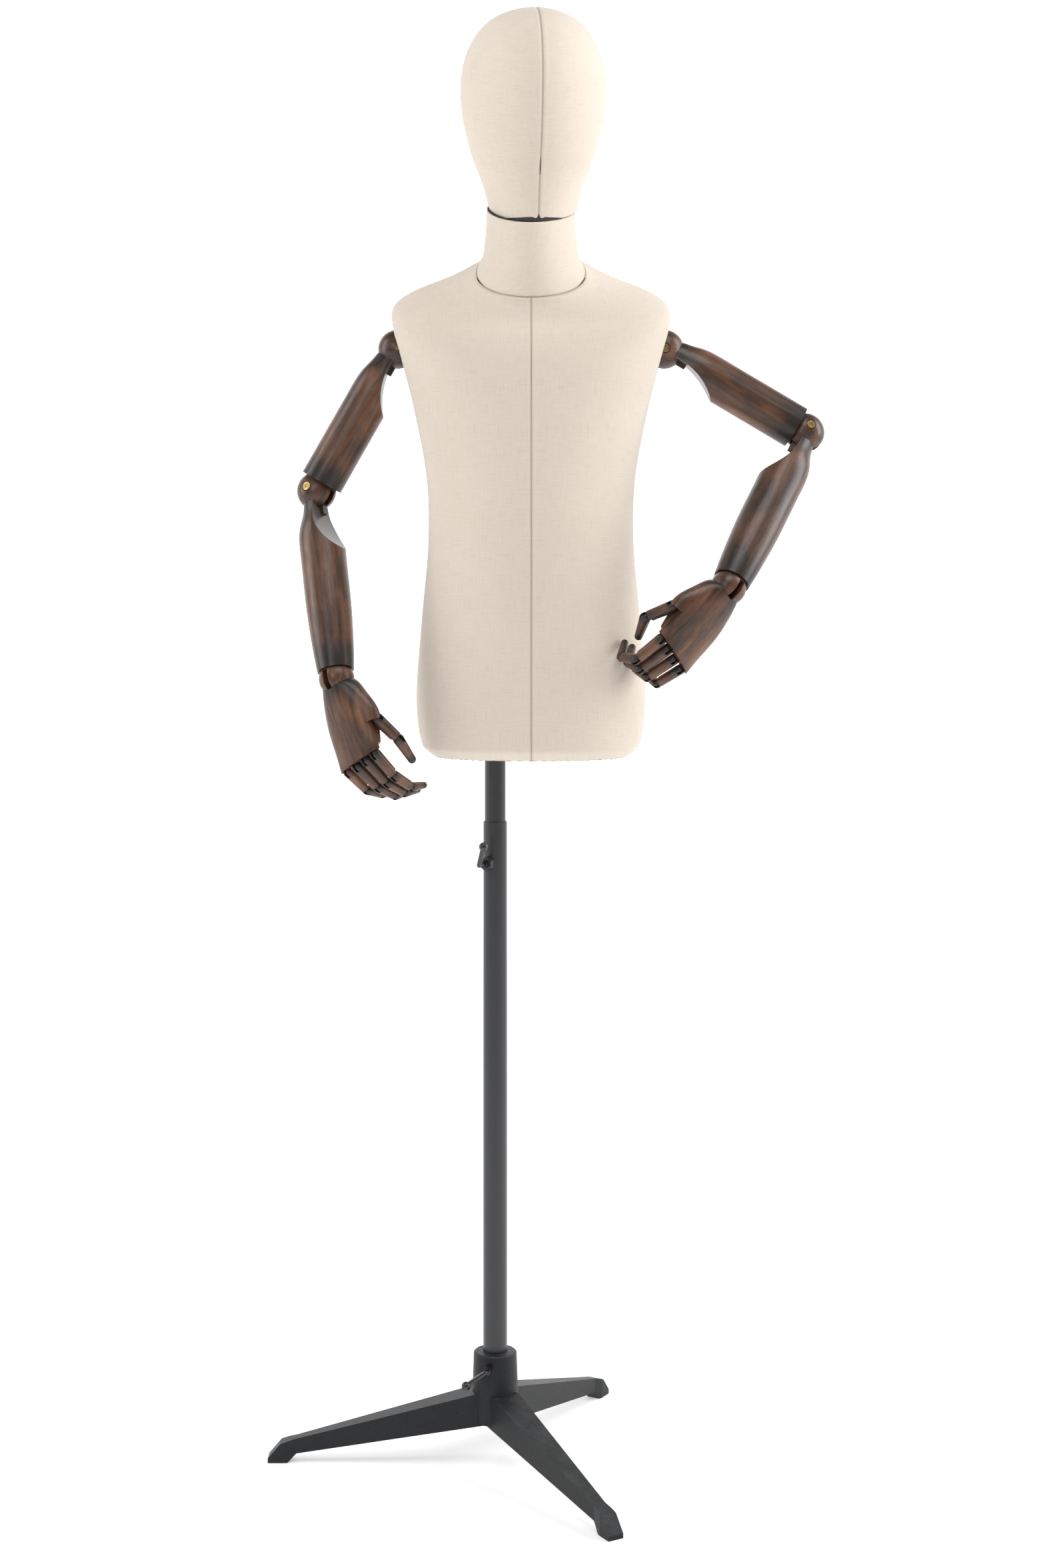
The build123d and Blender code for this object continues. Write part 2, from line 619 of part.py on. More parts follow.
def palm(arm):
    """Wooden palm: cupped round the wrist, stepped for the thumb, hollowed for the knuckles."""
    t = arm.index_side
    body = loft([palm_outline(arm, row) for row in PALM_ROWS])
    slant = Pos(0, 0, PALM) * Rot(-t * KNUCKLE_SLANT, 0, 0)
    widest = max(radius for place, lengths, radius in FINGERS.values())
    body -= slant * Pos(0, 0, -2) * Box(80, 120, 60, align=(Align.CENTER, Align.CENTER, Align.MIN))
    body -= slant * Pos(0, 0, -widest - 1.8) * Box(
        40, 120, 60, align=(Align.MIN, Align.CENTER, Align.MIN))
    body -= Sphere(WRIST_R + GAP)
    lengths, radius = THUMB
    step = Box(60, 40, 60, align=(Align.CENTER, Align.MIN, Align.MIN))
    shelf = thumb_root(arm)
    body -= Pos(0, 0, 53) * Rot(0, 0, 90 - 90 * t) * Pos(0, 27.5, 0) * step
    body -= shelf * Sphere(radius + GAP)
    body -= shelf * Cylinder(radius + GAP, 60, align=(Align.CENTER, Align.CENTER, Align.MIN))
    body += tongue_plate(WRIST_TONGUE, WRIST_TONGUE_R, WRIST_R + 5)
    body -= Rot(90, 0, 0) * Cylinder(SCREW_D / 2 + PIN_GAP, 30)
    for place, lengths, radius in FINGERS.values():
        body -= Pos(*knuckle(arm, place)) * Sphere(radius + GAP)
    for place, lengths, radius in FINGERS.values():
        body += Pos(*knuckle(arm, place)) * finger_tongue(radius)
    body += shelf * finger_tongue(THUMB[1])
    return arm.palm_frame() * body


def hand_pieces(arm):
    pieces = {"palm": palm(arm)}
    for finger, (place, lengths, radius) in FINGERS.items():
        radii = [radius, 0.93 * radius, 0.86 * radius, None]
        for k, frame in enumerate(arm.finger_frames(finger)):
            name = f"{finger}_{PHALANX_NAMES[k]}"
            pieces[name] = frame * phalanx(lengths[k], radii[k], radii[k + 1])
    lengths, radius = THUMB
    near, far = arm.thumb_frames()
    pieces["thumb_proximal"] = near * phalanx(lengths[0], radius, 0.93 * radius)
    pieces["thumb_distal"] = far * phalanx(lengths[1], 0.93 * radius)
    return pieces


def arm_pieces(arm):
    elbow = limb_frame(arm.elbow, arm.upper, arm.elbow_hinge)
    shoulder = shoulder_frame(arm)
    head_side = -1 if arm.side == "left" else 1
    pieces = {
        "shoulder_ball": joint_ball(shoulder, -1),
        "shoulder_screw": shoulder * hinge_screw(BALL_R, -1),
        "upper_arm": upper_arm(arm),
        "elbow_ball": joint_ball(elbow, head_side),
        "elbow_screw": elbow * hinge_screw(BALL_R, head_side),
        "forearm": forearm(arm),
        "wrist_ball": wrist_ball(arm),
    }
    pieces.update(hand_pieces(arm))
    return {f"{arm.side}_{name}": piece for name, piece in pieces.items()}


# ---------------------------------------------------------------- the whole figure
def all_pieces():
    pieces = {
        "tripod_base": tripod_base(),
        "base_clamp_screw": base_clamp_screw(),
        "lower_tube": lower_tube(),
        "height_clamp_screw": height_clamp_screw(),
        "upper_tube": upper_tube(),
        "pole_socket": pole_socket(),
        "wood_blocks": wood_blocks(),
        "head_post": head_post(),
    }
    pieces.update(torso_pieces())
    pieces.update(head_pieces())
    for arm in ARMS:
        pieces.update(arm_pieces(arm))
    return pieces


if __name__ == "__main__":
    os.makedirs("parts", exist_ok=True)
    for node, piece in all_pieces().items():
        export_step(piece, f"parts/{node}.step")
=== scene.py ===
import json
from math import radians, tan

import bmesh
import bpy
import numpy as np
from mathutils import Euler, Matrix, Vector


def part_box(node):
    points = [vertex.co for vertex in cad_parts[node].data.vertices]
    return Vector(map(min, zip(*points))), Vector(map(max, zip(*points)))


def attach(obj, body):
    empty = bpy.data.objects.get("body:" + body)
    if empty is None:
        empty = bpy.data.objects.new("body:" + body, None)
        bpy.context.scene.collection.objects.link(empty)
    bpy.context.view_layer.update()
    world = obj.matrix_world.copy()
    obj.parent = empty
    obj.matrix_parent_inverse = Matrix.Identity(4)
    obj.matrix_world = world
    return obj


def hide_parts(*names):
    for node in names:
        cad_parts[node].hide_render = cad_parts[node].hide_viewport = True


# A child-size display mannequin: linen head, neck and torso, dark jointed wooden arms and
# hands, charcoal pole and cast-iron tripod. Metres, +Z up, the front faces -Y.

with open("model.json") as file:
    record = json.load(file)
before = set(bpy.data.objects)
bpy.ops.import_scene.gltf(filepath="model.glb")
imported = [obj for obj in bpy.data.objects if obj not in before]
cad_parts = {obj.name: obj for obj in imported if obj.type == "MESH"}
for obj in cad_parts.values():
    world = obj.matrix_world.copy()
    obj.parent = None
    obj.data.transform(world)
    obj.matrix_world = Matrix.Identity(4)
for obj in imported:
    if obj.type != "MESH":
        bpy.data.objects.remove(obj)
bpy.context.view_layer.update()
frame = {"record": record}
JOINTS = {joint["name"]: joint for joint in frame["record"]["behaviour"]["joints"]}
SIDE_NAMES = {1: "left", -1: "right"}

MM = 0.001
BODY_X = 37.6                # the body stands off-centre on the pole
BODY_BOTTOM = 741.0
NECKLINE, NECKLINE_TILT = 1243.0, 30.0
NECK_TOP, NECK_TILT = 1314.2, 21.5
COLLAR, COLLAR_TILT = 1251.0, 36.0   # the sewn neckline
LEAN_START = 1150.0          # below this height the outlines are level
LINEN, BOTTOM_LINEN = 1.2, 0.3   # the cloth with its thin padding, and the bare cloth below
ARMHOLE_R, ARMHOLE_REACH = 28.0, 45.0
SEAM_DEPTH, SEAM_WIDTH = 0.75, 1.0
LIP_RISE, LIP_PLACE, LIP_WIDTH = 0.30, 3.4, 2.0
SEAM_SHADE_WIDTH = 0.9           # of the painted shade line along a seam's groove
NECKLINE_SPREAD = 1.05       # distance over the cloth for each height below the neckline
HEM_PUCKER, HEM_FADE, TORSO_SLACK = 0.55, 9.0, 0.18
NECK_TUCK, HEAD_TUCK, HEAD_SLACK = 0.3, 0.35, 0.12
BOTTOM_DROP, BOTTOM_SAG, BOTTOM_PUCKER = 0.35, 0.7, 0.3
TURN_STEPS = 221             # points round a closed ring of cloth
HEAD_X, HEAD_TOP, HEAD_DEPTH, HEAD_TURN = 40.0, 1523.4, 1.18, 6.0
HEAD_JOINT, HEAD_EDGE_GAP = 1314.5, 0.15
HEAD_CENTRE_DROP = 90.0      # middle of the egg, below its top
POLE_R, POLE_CLEARANCE = 11.0, 1.0
THREAD_PAIR = 0.00125        # two threads of the weave, in metres

# height, half width, depth in front, depth behind, squareness
BODY_ROWS = np.array((
    (741, 102, 73, 69, 2.4), (752, 114, 84, 80, 2.4), (800, 120, 92, 87, 2.3),
    (880, 115, 96, 78, 2.2), (960, 108, 95, 67, 2.2), (1030, 109.5, 89, 66, 2.2),
    (1100, 122, 85, 77, 2.4), (1150, 134.5, 78, 80, 2.7), (1190, 144.5, 65, 71, 2.8),
    (1210, 144.5, 53, 59, 2.6), (1222, 127, 49, 55, 2.4), (1234, 91, 47, 54, 2.2),
    (1250, 58, 48, 54, 2.0), (1280, 48.5, 52, 54, 2.0), (1350, 46.5, 54, 54, 2.0)))

# distance below the top of the head, half width
HEAD_ROWS = np.array(((0, 0), (0.5, 11), (4, 26.4), (14, 46.8), (25, 58), (40, 67.4), (62, 74.6),
                      (84, 76.8), (106, 75.4), (130, 71), (158, 63.2), (185, 53), (215, 45.5),
                      (245, 41)))


# ---------------------------------------------------------------- meshes
def new_piece(name, points, faces, uv=None, **values):
    """A mesh piece in metres from rows of points; doubled points are merged."""
    mesh = bpy.data.meshes.new(name)
    mesh.from_pydata((points * MM).tolist(), [], faces.tolist())
    if uv is not None:
        corners = np.empty(len(mesh.loops), dtype=np.int32)
        mesh.loops.foreach_get("vertex_index", corners)
        layer = mesh.uv_layers.new(name="Cloth")
        layer.data.foreach_set("uv", (uv[corners] * MM).ravel())
    for key, value in values.items():
        mesh.attributes.new(key, "FLOAT", "POINT").data.foreach_set("value", value)
    shape = bmesh.new()
    shape.from_mesh(mesh)
    bmesh.ops.remove_doubles(shape, verts=shape.verts, dist=2e-6)
    bmesh.ops.dissolve_degenerate(shape, edges=shape.edges, dist=1e-7)
    for face in shape.faces:
        face.smooth = True
    shape.to_mesh(mesh)
    shape.free()
    piece = bpy.data.objects.new(name, mesh)
    bpy.context.scene.collection.objects.link(piece)
    return piece


def grid_faces(rows, columns):
    """Quads of a grid: corner k of each quad is the point one step along, across or both."""
    start = (np.arange(rows - 1)[:, None] * columns + np.arange(columns - 1)).ravel()
    return np.stack((start, start + 1, start + columns + 1, start + columns), axis=1)


def facing_out(points, faces, centre):
    """Faces turned so that their normals point away from a centre, on average."""
    a, b, c = (points[faces[:, k]] for k in range(3))
    away = ((a + b + c) / 3 - centre) * np.cross(b - a, c - a)
    return faces if away.sum() > 0 else faces[:, ::-1]


def along(points):
    """Distance run along the last axis of a grid, from its first column."""
    steps = np.linalg.norm(np.diff(points, axis=1), axis=2)
    return np.concatenate((np.zeros((len(points), 1)), np.cumsum(steps, axis=1)), axis=1)


def down(points):
    """Distance run down the rows of a grid, from its first row, averaged over the columns."""
    steps = np.linalg.norm(np.diff(points, axis=0), axis=2).mean(axis=1)
    return np.concatenate(((0,), np.cumsum(steps)))[:, None] * np.ones(points.shape[:2])


def bell(distance, width):
    """One at zero distance, falling off as a Gaussian."""
    return np.exp(-(distance / width) ** 2)


def seam_dip(distance):
    """How far a seam pulls the cloth in: a narrow groove with a soft lip beside it."""
    return (SEAM_DEPTH * bell(distance, SEAM_WIDTH)
            - LIP_RISE * bell(distance - LIP_PLACE, LIP_WIDTH))


def cloth_piece(name, points, faces, uv, seam_distance, thickness=LINEN):
    """A sheet of cloth from a grid of points, with its thickness on the inside, and the area of
    its outer face in square metres. The last argument is each point's distance from the nearest
    seam, where painted shade darkens the cloth along the seam's groove."""
    # the seam attribute carries a painted shade line along each seam's groove
    piece = new_piece(name, points.reshape(-1, 3), faces, uv.reshape(-1, 2),
                      seam=bell(seam_distance, SEAM_SHADE_WIDTH).ravel())
    area = sum(face.area for face in piece.data.polygons)
    wall = piece.modifiers.new("thickness", "SOLIDIFY")
    wall.thickness = thickness * MM
    wall.offset = -1
    return piece, area


# ---------------------------------------------------------------- the linen body
def body_rows(height):
    """Half width, depths and squareness at each height: cubic curves through the known rows,
    whose slope at a row is the slope between its two neighbours."""
    known = BODY_ROWS[:, 0]
    k = np.clip(np.searchsorted(known, height, side="right") - 1, 0, len(known) - 2)
    before, after = np.maximum(k - 1, 0), np.minimum(k + 2, len(known) - 1)
    span = (known[k + 1] - known[k])[..., None]
    t = (height - known[k])[..., None] / span
    low, high = BODY_ROWS[k, 1:], BODY_ROWS[k + 1, 1:]
    rise_in = (high - BODY_ROWS[before, 1:]) / (known[k + 1] - known[before])[..., None] * span
    rise_out = (BODY_ROWS[after, 1:] - low) / (known[after] - known[k])[..., None] * span
    return np.moveaxis((2 * t ** 3 - 3 * t ** 2 + 1) * low + (t ** 3 - 2 * t ** 2 + t) * rise_in
                       + (3 * t ** 2 - 2 * t ** 3) * high + (t ** 3 - t ** 2) * rise_out, -1, 0)


def body_surface(height, turn, inset):
    """Points of the body: a superellipse at each height, deeper or shallower behind, whose
    plane leans forward above the chest as the neckline does. Turn is 0 at the figure's left
    side and a quarter circle at the back."""
    half_width, front, behind, squareness = body_rows(height)
    depth = np.where(np.sin(turn) > 0, behind, front)
    x = np.sign(np.cos(turn)) * np.abs(np.cos(turn)) ** (2 / squareness) * (half_width - inset)
    y = np.sign(np.sin(turn)) * np.abs(np.sin(turn)) ** (2 / squareness) * (depth - inset)
    rising = NECKLINE_TILT * np.clip((height - LEAN_START) / (NECKLINE - LEAN_START), 0, 1)
    settling = (NECK_TILT - NECKLINE_TILT) * np.clip(
        (height - NECKLINE) / (NECK_TOP - NECKLINE), 0, 1)
    lean = np.tan(np.radians(rising + settling))
    return np.stack((BODY_X + x, y, height + lean * y), axis=-1)


def collar_height(turn):
    """Outline height at which the body meets the slanted plane of the sewn neckline, found by
    substituting the last answer into the plane's equation a few times."""
    height = np.full_like(turn, COLLAR)
    for _ in range(8):
        x, y, z = np.moveaxis(body_surface(height, turn, 0), -1, 0)
        height = height + COLLAR + np.tan(np.radians(COLLAR_TILT)) * y - z
    return height


def crowded_ends(count, power=1.7):
    """Even steps from 0 to 1 drawn in towards both ends."""
    u = np.linspace(0, 1, count)
    return u ** power / (u ** power + (1 - u) ** power)


def torso_half(side):
    """One half of the torso's linen, from its centre-front seam round to the one behind. The
    bottom hem has small puckers, and the cloth stops at the round armhole."""
    height = np.concatenate((np.linspace(BODY_BOTTOM, 757, 18), np.linspace(760, 1195, 112),
                             np.linspace(1198, 1235, 20), np.linspace(1236.2, NECKLINE, 9)))
    turn = np.pi * (crowded_ends(141) - 0.5)
    if side < 0:
        turn = np.pi - turn
    height, turn = np.meshgrid(height, turn, indexing="ij")
    collar = collar_height(turn)
    stretch = (collar - LEAN_START) / (NECKLINE - LEAN_START)
    height = np.where(height > LEAN_START, LEAN_START + (height - LEAN_START) * stretch, height)
    bare = body_surface(height, turn, 0)
    to_seam = np.abs(bare[..., 0] - BODY_X)
    to_neckline = (collar - height) * NECKLINE_SPREAD
    round_it = along(bare)
    ripple = np.sin(round_it / 2.9 + 1.7 * np.sin(round_it / 17 + side)) * np.sin(round_it / 41 + 2)
    hem = np.exp(-(height - BODY_BOTTOM) / HEM_FADE)
    slack = TORSO_SLACK * np.sin(round_it / 23 + height / 61) * np.sin(height / 37 - round_it / 47)
    inset = seam_dip(to_seam) + seam_dip(to_neckline) + HEM_PUCKER * hem * ripple + slack
    points = body_surface(height, turn, inset)
    swivel = JOINTS[f"{SIDE_NAMES[side]}_shoulder_swivel"]
    out = np.array(swivel["axis"])
    reach = points - np.array(swivel["pos_m"]) / MM
    sideways = reach - (reach @ out)[..., None] * out
    radius = np.linalg.norm(sideways, axis=-1)
    inside = (radius < ARMHOLE_R) & (reach @ out > -ARMHOLE_REACH)
    points = np.where(inside[..., None],
                      points + sideways * (ARMHOLE_R / np.maximum(radius, 1e-6) - 1)[..., None],
                      points)
    faces = grid_faces(*points.shape[:2])
    faces = faces[~inside.ravel()[faces].all(axis=1)]
    faces = facing_out(points.reshape(-1, 3), faces, np.array((BODY_X, 0, 1000)))
    return cloth_piece(f"torso_linen_{SIDE_NAMES[side]}", points, faces,
                       np.stack((round_it, height), axis=-1),
                       np.minimum(np.abs(to_seam), np.abs(to_neckline)))


def neck_linen():
    """The neck's linen: a ring from the slanted neckline up to the slanted joint of the head."""
    share = np.concatenate((np.linspace(0, 0.09, 9), np.linspace(0.12, 1, 32)))
    share, turn = np.meshgrid(share, np.linspace(0, 2 * np.pi, TURN_STEPS), indexing="ij")
    collar = collar_height(turn)
    height = collar + share * (NECK_TOP - collar)
    edge = NECK_TUCK * bell(NECK_TOP - height, 1.0)
    points = body_surface(height, turn, seam_dip(height - collar) + edge)
    uv = np.stack((along(body_surface(height, turn, 0)), height), axis=-1)
    faces = facing_out(points.reshape(-1, 3), grid_faces(*points.shape[:2]),
                       np.array((BODY_X, 0, 1280)))
    return cloth_piece("neck_linen", points, faces, uv, height - collar)


def bottom_linen():
    """The linen stretched under the base board: a straight blend from a circle round the pole
    to the body's bottom outline, sagging a little between them."""
    share, turn = np.meshgrid(np.linspace(0, 1, 60), np.linspace(0, 2 * np.pi, TURN_STEPS),
                              indexing="ij")
    level = np.full_like(turn, BODY_BOTTOM)
    rim = body_surface(level, turn, 0.5)
    hole_r = POLE_R + POLE_CLEARANCE
    hole = np.stack((hole_r * np.cos(turn), hole_r * np.sin(turn), level), axis=-1)
    points = hole * (1 - share[..., None]) + rim * share[..., None]
    pucker = np.sin(turn * 74 + 2.3 * np.sin(turn * 5)) * share ** 6
    points[..., 2] -= BOTTOM_DROP + BOTTOM_SAG * np.sin(np.pi * share) + BOTTOM_PUCKER * pucker
    faces = facing_out(points.reshape(-1, 3), grid_faces(*points.shape[:2]),
                       np.array((BODY_X, 0, 900)))
    return cloth_piece("bottom_linen", points, faces, points[..., :2], (1 - share) * 80,
                       BOTTOM_LINEN)


# ---------------------------------------------------------------- the linen head
def head_profile(count):
    """Distance below the top and half width, evenly along the outline of the head: a cubic
    curve through the known rows, level where it starts at the crown."""
    rows = np.vstack((HEAD_ROWS[1] * (1, -1), HEAD_ROWS))
    run = np.concatenate(((0,), np.cumsum(np.linalg.norm(np.diff(rows, axis=0), axis=1))))
    slope = np.gradient(rows, run, axis=0)
    s = np.linspace(run[1], run[-1], count)
    k = np.clip(np.searchsorted(run, s, side="right") - 1, 1, len(run) - 2)
    span = (run[k + 1] - run[k])[:, None]
    t = (s - run[k])[:, None] / span
    curve = ((2 * t ** 3 - 3 * t ** 2 + 1) * rows[k] + (t ** 3 - 2 * t ** 2 + t) * span * slope[k]
             + (3 * t ** 2 - 2 * t ** 3) * rows[k + 1] + (t ** 3 - t ** 2) * span * slope[k + 1])
    return curve[:, 0], np.maximum(curve[:, 1], 0)


def head_half(side):
    """One half of the head's linen: an egg of elliptical rows from the crown down to the
    slanted joint, with a seam from the front over the crown to the back."""
    drop, half = head_profile(700)
    turn = np.pi * (crowded_ends(121, 1.5) - 0.5)
    if side < 0:
        turn = np.pi - turn
    x = np.outer(np.cos(turn), half)
    y = np.outer(np.sin(turn), half * HEAD_DEPTH)
    z = HEAD_TOP - drop
    spin = radians(HEAD_TURN)
    world_y = x * np.sin(spin) + y * np.cos(spin)
    over = z - HEAD_JOINT - world_y * tan(radians(NECK_TILT))
    last = np.argmax(over < HEAD_EDGE_GAP, axis=1)
    rows = np.linspace(0, 1, 150) ** 0.92
    pick = rows[:, None] * last[None, :]
    column = np.arange(len(turn))[None, :]
    low = np.minimum(pick.astype(int), len(drop) - 2)
    part = (pick - low)[..., None]
    grid = np.stack((x, y, np.broadcast_to(z, x.shape)), axis=-1)
    points = grid[column, low] * (1 - part) + grid[column, low + 1] * part
    to_seam = np.abs(points[..., 0])
    out = points - np.array((0, 0, HEAD_TOP - HEAD_CENTRE_DROP))
    out = out / np.linalg.norm(out, axis=-1, keepdims=True)
    edge = HEAD_TUCK * bell((1 - rows[:, None]) * 200, 1.5)
    slack = HEAD_SLACK * np.sin(points[..., 2] / 29 + points[..., 1] / 17)
    inset = seam_dip(to_seam) + edge + slack
    uv = np.stack((along(points), -down(points)), axis=-1)
    middle = len(turn) // 2
    uv[..., 0] -= uv[:, middle:middle + 1, 0]
    points = points - out * inset[..., None]
    turned = np.array(((np.cos(spin), np.sin(spin), 0),
                       (-np.sin(spin), np.cos(spin), 0),
                       (0, 0, 1)))
    flat = points.reshape(-1, 3) @ turned + np.array((HEAD_X, 0, 0))
    faces = facing_out(flat, grid_faces(*points.shape[:2]), np.array((HEAD_X, 0, 1430)))
    return cloth_piece(f"head_linen_{SIDE_NAMES[side]}", flat, faces, uv, to_seam)


# ---------------------------------------------------------------- shader maths
class Signal:
    """A value in a material's nodes, so that arithmetic on it reads as Python."""

    def __init__(self, finish, socket):
        self.finish, self.socket = finish, socket

    def maths(self, operation, *values):
        return self.finish.node("ShaderNodeMath", {"operation": operation}, *values)

    def __add__(self, other):
        return self.maths("ADD", self, other)

    def __sub__(self, other):
        return self.maths("SUBTRACT", self, other)

    def __rsub__(self, other):
        return self.maths("SUBTRACT", other, self)

    def __mul__(self, other):
        return self.maths("MULTIPLY", self, other)

    def __truediv__(self, other):
        return self.maths("DIVIDE", self, other)

    def __pow__(self, other):
        return self.maths("POWER", self, other)

    def __abs__(self):
        return self.maths("ABSOLUTE", self)

    __radd__, __rmul__ = __add__, __mul__

    def sine(self):
        return self.maths("SINE", self)

    def most(self, other):
        return self.maths("MAXIMUM", self, other)

    def least(self, other):
        return self.maths("MINIMUM", self, other)

    def clamp(self):
        return self.most(0.0).least(1.0)


class Finish:
    """One material: its node tree, its Principled shader and the nodes it is built from."""

    def __init__(self, name, **constants):
        self.material = bpy.data.materials.new(name)
        self.material.use_nodes = True
        self.tree = self.material.node_tree
        self.shader = self.tree.nodes["Principled BSDF"]
        for socket, value in constants.items():
            self.shader.inputs[socket.replace("_", " ")].default_value = value

    def node(self, kind, settings=None, *values, output=0, **named):
        """A node of any type: settings first, then the values or links of its sockets."""
        node = self.tree.nodes.new(kind)
        for key, value in (settings or {}).items():
            if key == "stops":
                elements = node.color_ramp.elements
                while len(elements) < len(value):
                    elements.new(0.5)
                for element, (place, colour) in zip(elements, value):
                    element.position = place
                    element.color = (*colour, 1)
            else:
                setattr(node, key, value)
        inputs = [(node.inputs[k], value) for k, value in enumerate(values)]
        inputs += [(node.inputs[key.replace("_", " ")], value) for key, value in named.items()]
        for socket, value in inputs:
            if isinstance(value, Signal):
                self.tree.links.new(value.socket, socket)
            elif value is not None:
                socket.default_value = value
        return Signal(self, node.outputs[output])

    def place(self):
        """The point in the piece's own coordinates."""
        return self.node("ShaderNodeTexCoord", output=3)

    def split(self, vector):
        node = self.node("ShaderNodeSeparateXYZ", None, vector).socket.node
        return [Signal(self, socket) for socket in node.outputs]

    def join(self, x, y, z):
        return self.node("ShaderNodeCombineXYZ", None, x, y, z)

    def noise(self, vector, scale, detail=3.0, roughness=0.55, distortion=0.0):
        return self.node("ShaderNodeTexNoise", None, Vector=vector, Scale=scale, Detail=detail,
                         Roughness=roughness, Distortion=distortion)

    def ramp(self, value, *stops):
        """A colour for each value, from places and colours."""
        return self.node("ShaderNodeValToRGB", {"stops": stops}, value)

    def step(self, value, low, high):
        """Zero below the low value, one above the high one, and smooth between them."""
        return self.node("ShaderNodeMapRange", {"interpolation_type": "SMOOTHSTEP"},
                         value, low, high, 0.0, 1.0)

    def blend(self, factor, one, other):
        """One colour at factor 0 and the other at factor 1."""
        node = self.tree.nodes.new("ShaderNodeMix")
        node.data_type = "RGBA"
        for k, value in ((0, factor), (6, one), (7, other)):
            socket = node.inputs[k]
            if isinstance(value, Signal):
                self.tree.links.new(value.socket, socket)
            else:
                socket.default_value = value if isinstance(value, float) else (*value, 1)
        return Signal(self, node.outputs[2])

    def feed(self, **signals):
        for name, signal in signals.items():
            self.tree.links.new(signal.socket, self.shader.inputs[name.replace("_", " ")])
        return self

    def relief(self, height, depth, strength=1.0):
        """Bump that stands up by a depth in millimetres."""
        return self.feed(Normal=self.node("ShaderNodeBump", None, Strength=strength,
                                          Distance=depth * MM, Height=height))


# ---------------------------------------------------------------- finishes
def linen_cloth():
    """Unbleached linen: a plain weave of uneven threads with slubs both ways, and painted shade
    along the seams and between the threads.
    """
    cloth = Finish("natural_linen", Roughness=0.88, Specular_IOR_Level=0.25, Sheen_Weight=0.25,
                   Sheen_Roughness=0.5)
    u, v, _ = cloth.split(cloth.node("ShaderNodeUVMap", {"uv_map": "Cloth"}))
    waver = cloth.noise(cloth.join(u, v, 0.0), 90.0, 2.0) * 0.0006
    pitch = 2 * np.pi / THREAD_PAIR
    warp = ((u + waver) * pitch).sine()
    weft = ((v + waver) * pitch).sine()
    weave = warp * weft * 0.5 + 0.5
    weft_slub = cloth.noise(cloth.join(u * 55, v * 900, 0.0), 1.0, 3.0, 0.6)
    warp_slub = cloth.noise(cloth.join(u * 900, v * 45, 3.0), 1.0, 3.0, 0.6)
    weft_thread = cloth.step(weft_slub, 0.56, 0.74)
    warp_thread = cloth.step(warp_slub, 0.56, 0.74)
    flecks = cloth.step(cloth.noise(cloth.join(u * 260, v * 700, 7.0), 1.0, 2.0, 0.6), 0.66, 0.78)
    broad = cloth.noise(cloth.join(u, v, 0.0), 9.0, 2.0)
    seam = cloth.node("ShaderNodeAttribute", {"attribute_name": "seam"}, output=2)
    ground = cloth.blend(broad, (0.73, 0.625, 0.515), (0.79, 0.69, 0.585))
    threads = cloth.blend((weft_thread * 0.30 + warp_thread * 0.34).clamp(), ground,
                          (0.60, 0.505, 0.41))
    pale = cloth.blend((1 - weft_slub) * (1 - warp_slub) * 1.1, threads, (0.90, 0.835, 0.75))
    specks = cloth.blend(flecks * 0.45, pale, (0.50, 0.40, 0.31))
    # painted shade: darker where the weave's bump is low, between the raised threads
    weave_shaded = cloth.blend((1 - weave) * 0.20, specks, (0.55, 0.46, 0.37))
    # painted shade: a dark line along each seam's groove
    colour = cloth.blend(seam * 0.60, weave_shaded, (0.33, 0.25, 0.19))
    cloth.feed(Base_Color=colour)
    cloth.relief(weave * 0.55 + weft_thread * 0.45 + warp_thread * 0.45, 0.12)
    return cloth.material


